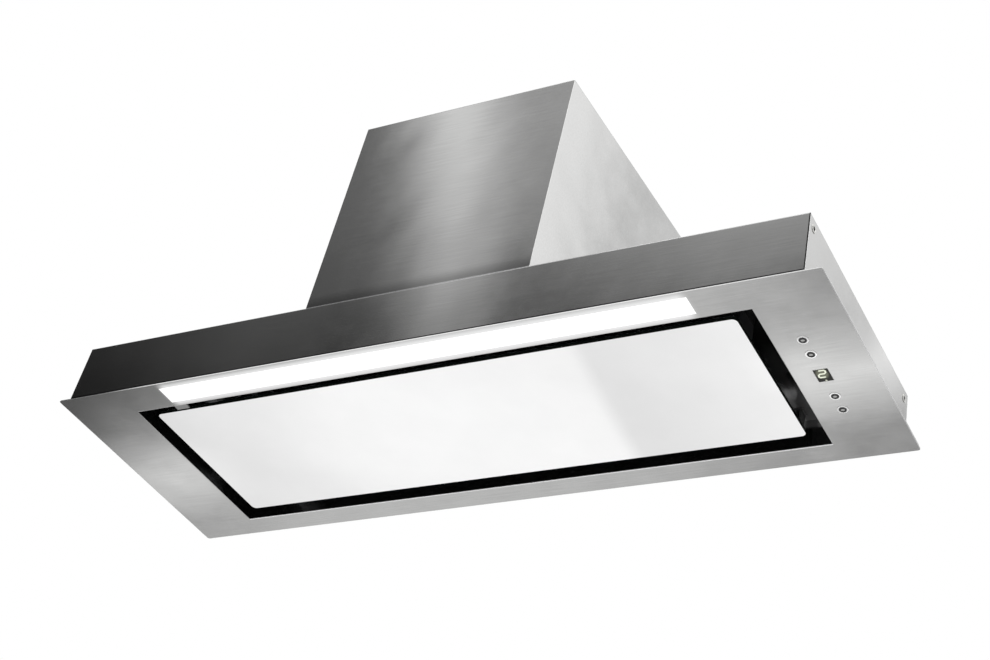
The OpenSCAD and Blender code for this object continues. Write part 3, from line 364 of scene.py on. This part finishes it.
in_front = near(sheet_light, y_at, fascia_low[1], FRONT_FACE_HALF, SOFT)
# Painted shade: a dark line along the fascia's foot and up its two ends, where the open seams are
foot_seam_shade = near(sheet_light, z_at, fascia_low[2] + FOOT_SEAM_UP, FOOT_SEAM_HALF, SHARP)
up_fascia = near(sheet_light, z_at, (fascia_low[2] + fascia_high[2]) / 2,
                 (fascia_high[2] - fascia_low[2]) / 2, SHARP)
corner_seam_shade = where_all(sheet_light, up_fascia, near(sheet_light, x_away, fascia_high[0], CORNER_SEAM_HALF, SOFT))
# Painted highlight: a pale line along the plate's front cut edge and the opening's rear cut edge
front_cut_highlight = where_all(sheet_light, near(sheet_light, y_at, plate_low[1], FRONT_CUT_DEPTH, SOFT),
                      near(sheet_light, x_at, FRONT_CUT_X, FRONT_CUT_HALF, FRONT_CUT_SOFT))
rear_cut_highlight = where_all(sheet_light, near(sheet_light, y_at, duct_high[1] - DUCT_FLANGE, REAR_CUT_DEPTH, SOFT),
                     near(sheet_light, x_away, 0, duct_high[0] - DUCT_FLANGE, REAR_CUT_SOFT))
in_sheet = near(sheet_light, z_at, SHEET / 2, SHEET / 2, CRISP)
over_tray = computed(sheet_light, "GREATER_THAN", z_at, tray_high[2] + SHADE_START)
fill(sheet_light, sheet_light_out, {
    "Seam": where_all(sheet_light, in_front, computed(sheet_light, "MAXIMUM", foot_seam_shade, corner_seam_shade)),
    "Cut Highlight": where_all(sheet_light, in_sheet, computed(sheet_light, "MAXIMUM", front_cut_highlight, rear_cut_highlight)),
    # Painted highlights: a pale line along the tray's top front fold, and lighter hems at the plate's ends
    "Fold Highlight": where_all(sheet_light, near(sheet_light, y_at, plate_low[1], SHEET, SHARP),
                      near(sheet_light, z_at, tray_high[2], SHEET, SOFT)),
    "Hem Highlight": where_all(sheet_light, near(sheet_light, x_away, plate_high[0], SHEET, SHARP),
                     near(sheet_light, z_at, SHEET, SHEET, CRISP)),
    # Painted shade over the housing's foot, fading upwards
    "Foot Shade": where_all(sheet_light, near(sheet_light, z_at, tray_high[2], SHEET, SHADE_RISE), in_front, over_tray),
    # The lamp's light on the plate round its slot, painted in as emission over a darker base colour
    "Glow": where_all(sheet_light, near(sheet_light, x_away, 0, slot_high[0] - GLOW_SHORT, GLOW_END_SOFT),
                      near(sheet_light, y_at, (slot_low[1] + slot_high[1]) / 2, (slot_high[1] - slot_low[1]) / 2,
                           GLOW_REACH),
                      near(sheet_light, z_at, 0, SOFT, SHARP))})
stainless = brushed_sheet("stainless", (0.53, 0.53, 0.525), (0.61, 0.61, 0.605), (0.11, 0.15),
                          stroke_count=600, depth=0.02, anisotropy=0.75, fold=FOLD_RADIUS)
steel = stainless.node_tree
painted_light = add_node(steel, "Group", node_tree=sheet_light).outputs
# Painted shade at the foot and in the seams, painted highlights on folds, hems and cut edges, painted glow
laid_over(stainless, [
    (painted_light["Foot Shade"], (0.6, 0.6, 0.6), "MULTIPLY"), (painted_light["Fold Highlight"], (0.9, 0.9, 0.9), "MIX"),
    (painted_light["Hem Highlight"], (0.68, 0.68, 0.68), "MIX"), (painted_light["Glow"], (0.15, 0.15, 0.15), "MIX"),
    (painted_light["Cut Highlight"], (0.95, 0.95, 0.95), "MIX"), (painted_light["Seam"], (0.03, 0.03, 0.03), "MIX")])
# The painted cut-edge highlight is not metallic, so that its pale colour shows as it is
fill(steel, steel.nodes["Principled BSDF"], {"Metallic": computed(steel, "SUBTRACT", 1, painted_light["Cut Highlight"]),
                                             "Emission Color": painted_light["Glow"],
                                             "Emission Strength": GLOW_LEVEL})
paint(["face_plate", "body_shell", "front_fascia", "housing_cover", "housing_back", "housing_top"],
      stainless)


# Black duct: folded sheet behind the opening with a glossy black coat, a little wavy where it was
# sprayed. At its right end a grey patch is a painted reflection, with a painted highlight on each side.
CLOUD_LOW, CLOUD_HIGH = 0.35, 0.65
CLOUD_DEPTH = 0.0001
DUCT_IOR = 1.8
SHEEN_X, SHEEN_X_HALF, SHEEN_X_SOFT = 0.342, 0.014, 0.02
SHEEN_Y, SHEEN_Y_HALF, SHEEN_Y_SOFT = 0.11, 0.03, 0.04
SHEEN_Z, SHEEN_Z_HALF, SHEEN_Z_SOFT = 0.034, 0.006, 0.006
LEFT_GLINT_X, LEFT_GLINT_SOFT = 0.328, 0.007
RIGHT_GLINT_X, RIGHT_GLINT_SOFT = 0.356, 0.006
GLINT_HALF = 0.003
fine_clouds, clouds_in, clouds_out = new_group("fine_clouds", {"Scale": (NUMBER, 300)}, {"Clouds": NUMBER})
on_piece = add_node(fine_clouds, "TexCoord").outputs["Object"]
cloud_noise = add_node(fine_clouds, "TexNoise", {"Vector": on_piece, "Scale": clouds_in["Scale"],
                                                 "Detail": 3})
fill(fine_clouds, clouds_out, {"Clouds": cloud_noise.outputs["Fac"]})


def ramp(tree, share, stops, blend="LINEAR"):
    """A colour that goes from one to another as a share grows, from two stops of place and colour."""
    made = add_node(tree, "ValToRGB", {"Fac": share})
    made.color_ramp.interpolation = blend
    for stop, (place, colour) in zip(made.color_ramp.elements, stops):
        stop.position = place
        stop.color = (*colour, 1)
    return made.outputs["Color"]


def finish(name, dark, light, roughness, scale, depth=0.1, metallic=0.0):
    """Paint, plastic or plain metal. Its colour goes from dark to light and its roughness through its
    range in fine clouds of a scale, and the clouds give it a faint bump."""
    made, tree, shader = new_material(name)
    cloud = add_node(tree, "Group", {"Scale": scale}, node_tree=fine_clouds).outputs["Clouds"]
    colour = ramp(tree, cloud, ((CLOUD_LOW, dark), (CLOUD_HIGH, light)))
    gloss = add_node(tree, "MapRange", {"Value": cloud, "To Min": roughness[0], "To Max": roughness[1]})
    bump = add_node(tree, "Bump", {"Height": cloud, "Strength": depth, "Distance": CLOUD_DEPTH})
    fill(tree, shader, {"Base Color": colour, "Metallic": metallic, "Roughness": gloss.outputs[0],
                        "Normal": bump.outputs[0]})
    return made


duct_black = finish("duct_black", (0.002, 0.002, 0.002), (0.005, 0.005, 0.005), (0.1, 0.22), 160, 0.05)
duct = duct_black.node_tree
duct.nodes["Principled BSDF"].inputs["IOR"].default_value = DUCT_IOR
on_duct = add_node(duct, "TexCoord").outputs["Object"]
duct_x, duct_y, duct_z = add_node(duct, "SeparateXYZ", {0: on_duct}).outputs
# Painted reflection near the right end: a grey patch, with a paler painted highlight on each side of it
sheen_reach = where_all(duct, near(duct, duct_y, SHEEN_Y, SHEEN_Y_HALF, SHEEN_Y_SOFT),
                       near(duct, duct_z, SHEEN_Z, SHEEN_Z_HALF, SHEEN_Z_SOFT))
sheen_patch = where_all(duct, near(duct, duct_x, SHEEN_X, SHEEN_X_HALF, SHEEN_X_SOFT), sheen_reach)
left_glint = near(duct, duct_x, LEFT_GLINT_X, GLINT_HALF, LEFT_GLINT_SOFT)
right_glint = near(duct, duct_x, RIGHT_GLINT_X, GLINT_HALF, RIGHT_GLINT_SOFT)
glints = where_all(duct, computed(duct, "MAXIMUM", left_glint, right_glint), sheen_reach)
laid_over(duct_black, [(sheen_patch, (0.08, 0.08, 0.08), "MIX"), (glints, (0.3, 0.3, 0.3), "MIX")])
paint(["intake_frame"], duct_black)


# Glass panel: tempered float glass, painted white behind, with ground and polished edges, bonded to a
# shallow pan of plain brushed steel. The edges are painted near black, a painted reflection of the dark
# duct.
GLASS_WHITE, GLASS_WHITE_LIGHT = (0.853, 0.853, 0.853), (0.883, 0.883, 0.883)
GLASS_EDGE_REFLECTION = (0.006, 0.008, 0.007)
EDGE_TURN, FACE_TURN = 0.6, 0.8
white_glass = finish("white_glass", GLASS_WHITE, GLASS_WHITE_LIGHT, (0.02, 0.05), 12, 0.0)
glass = white_glass.node_tree
glass_turn = add_node(glass, "SeparateXYZ", {0: add_node(glass, "TexCoord").outputs["Normal"]})
upright_share = computed(glass, "ABSOLUTE", glass_turn.outputs["Z"])
# Painted reflection: the glass's upright edges turn near black, for the dark duct that they face
at_edge = add_node(glass, "MapRange", {"Value": upright_share, "From Min": EDGE_TURN, "From Max": FACE_TURN,
                                       "To Min": 1, "To Max": 0}).outputs[0]
laid_over(white_glass, [(at_edge, GLASS_EDGE_REFLECTION, "MIX")])
paint(["glass_panel"], white_glass)
paint(["panel_pan"], brushed_sheet("pan_steel", (0.55, 0.55, 0.55), (0.65, 0.65, 0.65), (0.3, 0.45)))

# A bright window behind the hood shows only in the glass, and ends in a slanted edge across it
WINDOW_AWAY, WINDOW_LEAN, WINDOW_UPRIGHT = 2.4, -1, -36.6
window_light = curved("window_light", WINDOW_AWAY,
                      {-95.7: 0, -110.8: 0.2, -117.7: 0.9, -121.5: 1.15, -125.9: 1.6, -129: 2.05,
                       -134: 2.13, -150.9: 2.13, -152.4: 0.1, -155: 0.2, -158: 0.6, -160.4: 0.9,
                       -162.7: 1.4, -165: 1.75, -170: 2, -180.9: 2, -191.8: 2},
                      {-60: 0.9, -40: 0.9, -36.6: 1, -34.5: 1.12, -33: 1.2, -31: 1.12, -29: 1, -28: 0.8,
                       -27: 0.6, -20: 0.6, -10: 0.6}, clear=True, lean=WINDOW_LEAN, upright=WINDOW_UPRIGHT)
glass_only = bpy.data.collections.new("glass_only")
glass_only.objects.link(nodes["glass_panel"])
window_light.light_linking.receiver_collection = glass_only


# Reflection patch: a grey block against the duct in the front gap, near its left end, where the glass comes
# up beside it. It is a painted reflection, which stands for the lamp's light seen in the gap there.
PATCH_X, PATCH_Y, PATCH_Z = (-0.3165, -0.3), (-0.1054, -0.0974), (0.0007, 0.0019)
# Painted reflection: a grey block where the lamp's light shows in the gap
reflection_piece = shape("reflection_patch", [(x, y, z) for x in PATCH_X for y in PATCH_Y for z in PATCH_Z],
            [(0, 1, 3, 2), (4, 6, 7, 5), (0, 4, 5, 1), (2, 3, 7, 6), (0, 2, 6, 4), (1, 5, 7, 3)])
reflection_piece.data.materials.append(finish("reflection_grey", (0.24, 0.24, 0.24), (0.28, 0.28, 0.28), (0.6, 0.75), 900))
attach(reflection_piece, "hood")


# Lamp: an opal strip over a row of diodes on a white board, in an aluminium channel, with its
# power supply in a white box in the tray's left end.
OPAL_GLOW = 0.4
opal = finish("opal_strip", (0.9, 0.9, 0.9), (0.95, 0.95, 0.95), (0.35, 0.5), 400)
fill(opal.node_tree, opal.node_tree.nodes["Principled BSDF"], {"Emission Color": (1, 1, 1, 1),
                                                               "Emission Strength": OPAL_GLOW})
paint(["lamp_diffuser"], opal)
paint(["lamp_profile"], brushed_sheet("lamp_channel", (0.55, 0.56, 0.57), (0.7, 0.71, 0.72), (0.3, 0.45)))
paint(["lamp_board"], finish("white_board", (0.8, 0.8, 0.78), (0.87, 0.87, 0.86), (0.35, 0.5), 300))
white_moulding = finish("white_moulding", (0.74, 0.74, 0.71), (0.8, 0.8, 0.78), (0.4, 0.55), 800)
paint(["lamp_driver"], white_moulding)


# Buttons: four dark push buttons with a steel spot in the middle, in chromed rings. A black box
# behind the plate holds their switches on a green board.
SPOT_RADIUS, SPOT_SQUASH = 0.002, 1.4
paint(["button_bezels"],
      finish("bezel_chrome", (0.9, 0.9, 0.9), (0.95, 0.95, 0.95), (0.1, 0.2), 900, metallic=1))
spot, spot_in, spot_out = new_group("steel_spot", {"Centre": (VECTOR, (0, 0, 0)),
                                                   "Radius": (NUMBER, SPOT_RADIUS)}, {"Spot": NUMBER})
on_button = add_node(spot, "TexCoord").outputs["Object"]
off_centre = add_node(spot, "VectorMath", {0: on_button, 1: spot_in["Centre"]}, operation="SUBTRACT")
flattened = add_node(spot, "VectorMath", {0: off_centre.outputs[0], 1: (1, SPOT_SQUASH, 0)},
                     operation="MULTIPLY")
spot_away = add_node(spot, "VectorMath", {0: flattened.outputs[0]}, operation="LENGTH").outputs["Value"]
fill(spot, spot_out, {"Spot": computed(spot, "LESS_THAN", spot_away, spot_in["Radius"])})
for button in ("button_1", "button_2", "button_3", "button_4"):
    low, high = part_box(button)
    cap = finish(button + "_cap", (0.028, 0.028, 0.028), (0.042, 0.042, 0.042), (0.35, 0.5), 900)
    cap_middle = ((low[0] + high[0]) / 2, (low[1] + high[1]) / 2, 0)
    in_middle = add_node(cap.node_tree, "Group", {"Centre": cap_middle}, node_tree=spot).outputs["Spot"]
    laid_over(cap, [(in_middle, (0.6, 0.6, 0.59), "MIX")])
    fill(cap.node_tree, cap.node_tree.nodes["Principled BSDF"], {"Metallic": in_middle})
    paint([button], cap)
black_moulding = finish("black_moulding", (0.018, 0.018, 0.019), (0.03, 0.03, 0.032), (0.45, 0.6), 1500)
paint(["control_box", "tactile_switches"], black_moulding)
paint(["control_board"], finish("green_board", (0.01, 0.07, 0.03), (0.02, 0.11, 0.05), (0.3, 0.5), 250))


# Display: a smoked plastic window over a moulded module, with one lit digit and a point that light
# the window round them. The lit strokes lie flat on the window's lower face.
DIGIT_X, DIGIT_Y = -0.0003, -0.0024
DIGIT_W, DIGIT_H, DIGIT_SLANT = 0.009, 0.0122, 0.2
DIGIT_T, STROKE, STROKE_GAP = 0.0002, 0.0018, 0.0001
POINT_X, POINT_Y, POINT_W, POINT_H = 0.0006, 0.0106, 0.0018, 0.002
HALO_REACH, HALO_SQUASH = 0.0095, 0.8
HALO_STOPS = ((0.42, (0.135, 0.14, 0.1)), (0.8, (0, 0, 0)))
DIGIT_GLOW, POINT_GLOW, GLOW_COLOUR = 0.5, 0.2, (0.95, 1, 0.82, 1)
window_low, window_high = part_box("display_lens")
window_x = (window_low[0] + window_high[0]) / 2 + DIGIT_X
window_y = (window_low[1] + window_high[1]) / 2 + DIGIT_Y
smoked_window = finish("smoked_window", (0.02, 0.02, 0.018), (0.03, 0.03, 0.027), (0.25, 0.35), 60, 0.0)
smoke = smoked_window.node_tree
on_window = add_node(smoke, "TexCoord").outputs["Object"]
off_digit = add_node(smoke, "VectorMath", {0: on_window, 1: (window_x, window_y, window_low[2])},
                     operation="SUBTRACT")
squashed = add_node(smoke, "VectorMath", {0: off_digit.outputs[0], 1: (1, HALO_SQUASH, 0)},
                    operation="MULTIPLY")
digit_away = add_node(smoke, "VectorMath", {0: squashed.outputs[0]}, operation="LENGTH").outputs["Value"]
# Painted light: the glow round the digit is painted on the window as emission, fading outwards
halo_share = add_node(smoke, "MapRange", {"Value": digit_away, "From Max": HALO_REACH}).outputs[0]
halo = ramp(smoke, halo_share, HALO_STOPS, "EASE")
fill(smoke, smoke.nodes["Principled BSDF"], {"Specular IOR Level": 0.15, "Emission Color": halo,
                                             "Emission Strength": 1})
paint(["display_lens"], smoked_window)
paint(["display_module"], black_moulding)


def lit_piece(name, outlines, bottom, top):
    """Flat lit strokes between two heights, from outlines in the window's own plane, top towards -Y."""
    points, faces = [], []
    for outline in outlines:
        first, n = len(points), len(outline)
        for z in (bottom, top):
            points += [(window_x + x, window_y + y, z) for x, y in outline]
        faces.append([first + i for i in reversed(range(n))])
        faces.append([first + n + i for i in range(n)])
        faces += [[first + i, first + (i + 1) % n, first + n + (i + 1) % n, first + n + i]
                  for i in range(n)]
    return shape(name, points, faces)


def bar(x, y, along_x):
    """One stroke of the digit, pointed at both ends, sheared with the digit."""
    reach = ((DIGIT_W - STROKE) / 2 if along_x else (DIGIT_H - STROKE) / 4) - STROKE_GAP
    half = STROKE / 2
    ring = [(-reach, 0), (-reach + half, -half), (reach - half, -half), (reach, 0), (reach - half, half),
            (-reach + half, half)]
    if not along_x:
        ring = [(b, a) for a, b in ring][::-1]
    return [(x + a - DIGIT_SLANT * (y + b), y + b) for a, b in ring]


side_x, half_y = (DIGIT_W - STROKE) / 2, (DIGIT_H - STROKE) / 2
digit_strokes = [bar(0, -half_y, True), bar(0, 0, True), bar(0, half_y, True),
                 bar(side_x, -half_y / 2, False), bar(-side_x, half_y / 2, False)]
point_outline = [(POINT_X + x * POINT_W / 2, POINT_Y + y * POINT_H / 2)
                 for x, y in ((-1, -1), (1, -1), (1, 1), (-1, 1))]
lit_pieces = (("display_digit", digit_strokes, DIGIT_GLOW), ("display_point", [point_outline], POINT_GLOW))
for name, outlines, glow in lit_pieces:
    digit = lit_piece(name, outlines, window_low[2] - DIGIT_T, window_low[2] - DIGIT_T / 4)
    digit_glow = finish(name + "_glow", (0.42, 0.43, 0.36), (0.46, 0.47, 0.4), (0.4, 0.5), 500)
    fill(digit_glow.node_tree, digit_glow.node_tree.nodes["Principled BSDF"],
         {"Emission Color": GLOW_COLOUR, "Emission Strength": glow})
    digit.data.materials.append(digit_glow)
    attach(digit, "hood")


# Panel hinges and catches: pressed brackets and arms with a matt black coat turn on bright steel
# pins behind the panel's rear edge. Zinc-coated strikes meet black magnetic catches in front.
bright_steel = finish("bright_steel", (0.52, 0.52, 0.5), (0.66, 0.66, 0.64), (0.22, 0.34), 700, metallic=1)
zinc_coat = finish("zinc_coat", (0.42, 0.44, 0.45), (0.6, 0.62, 0.63), (0.3, 0.5), 90, metallic=1)
paint(["hinge_brackets", "hinge_arms"],
      finish("hinge_black", (0.07, 0.07, 0.07), (0.09, 0.09, 0.09), (0.4, 0.55), 300))
paint(["hinge_pins"], bright_steel)
paint(["panel_strikes"], zinc_coat)
paint(["panel_catches"], black_moulding)


# Rivet nuts: plated steel, pressed into the four fixing holes of the tray's ends, each with a thin
# flange outside and a blind bore for the screw from the cabinet.
FIXING_Y, FIXING_Z = 0.134, 0.0592
NUT_PROFILE = [(-0.0095, 0.0034), (0, 0.0034), (0, 0.0045), (0.0003, 0.0047), (0.0006, 0.0045),
               (0.0007, 0.0041), (0.0007, 0.0027), (0.0004, 0.0024), (-0.0082, 0.0024)]
NUT_SIDES = 32
nut_points, nut_faces = [], []
for end in (-1, 1):
    for nut_y in (-FIXING_Y, FIXING_Y):
        first = len(nut_points)
        for along, radius in NUT_PROFILE:
            for step in range(NUT_SIDES):
                turn = 2 * math.pi * step / NUT_SIDES
                nut_points.append((end * (tray_high[0] + along), nut_y + radius * math.cos(turn),
                                   FIXING_Z + radius * math.sin(turn)))
        for ring in range(len(NUT_PROFILE) - 1):
            for step in range(NUT_SIDES):
                a, b = first + ring * NUT_SIDES + step, first + ring * NUT_SIDES + (step + 1) % NUT_SIDES
                nut_faces.append((a, b, b + NUT_SIDES, a + NUT_SIDES)[::end])
        last = len(nut_points) - NUT_SIDES
        nut_faces.append([first + step for step in range(NUT_SIDES)][::-end])
        nut_faces.append([last + step for step in range(NUT_SIDES)][::end])
nuts = shape("rivet_nuts", nut_points, nut_faces)
nuts.data.materials.append(bright_steel)
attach(nuts, "hood")


# Filters: two cassettes of expanded aluminium in rolled aluminium rims, with steel pull tabs, held
# in the shelf by leaf springs.
paint(["filter_left_frame", "filter_right_frame", "filter_left_mesh", "filter_right_mesh"],
      brushed_sheet("filter_aluminium", (0.6, 0.61, 0.62), (0.74, 0.75, 0.76), (0.28, 0.42)))
paint(["filter_left_pull", "filter_right_pull", "filter_clips"], bright_steel)


# Blower: a squirrel cage in a scroll of zinc-coated sheet, whose coat shows grey crystals, on a
# painted motor can with a bright steel shaft, and a white capacitor beside it.
paint(["scroll_wrap", "scroll_side_left", "scroll_side_right", "impeller", "motor_bracket"], zinc_coat)
paint(["motor_shaft"], bright_steel)
paint(["motor_case"], finish("motor_paint", (0.16, 0.17, 0.18), (0.22, 0.23, 0.24), (0.35, 0.5), 400))
paint(["capacitor"], white_moulding)


# Outlet: a moulded grey plastic collar for the duct, screwed on top of the housing. Its two flaps,
# of the same plastic, turn on one steel pin.
paint(["duct_collar", "front_flap", "rear_flap"],
      finish("grey_moulding", (0.17, 0.17, 0.175), (0.22, 0.22, 0.225), (0.4, 0.55), 1200))
paint(["flap_pin"], bright_steel)


# Mains and fasteners: a white terminal box with its cover and block, a black gland for the cable,
# and plain bright steel screws in the collar, the back, the motor's bracket and the housing.
paint(["terminal_box", "terminal_cover", "terminal_block"], white_moulding)
paint(["cable_gland"], black_moulding)
paint(["collar_screws", "back_screws", "bracket_screws", "housing_screws"], bright_steel)
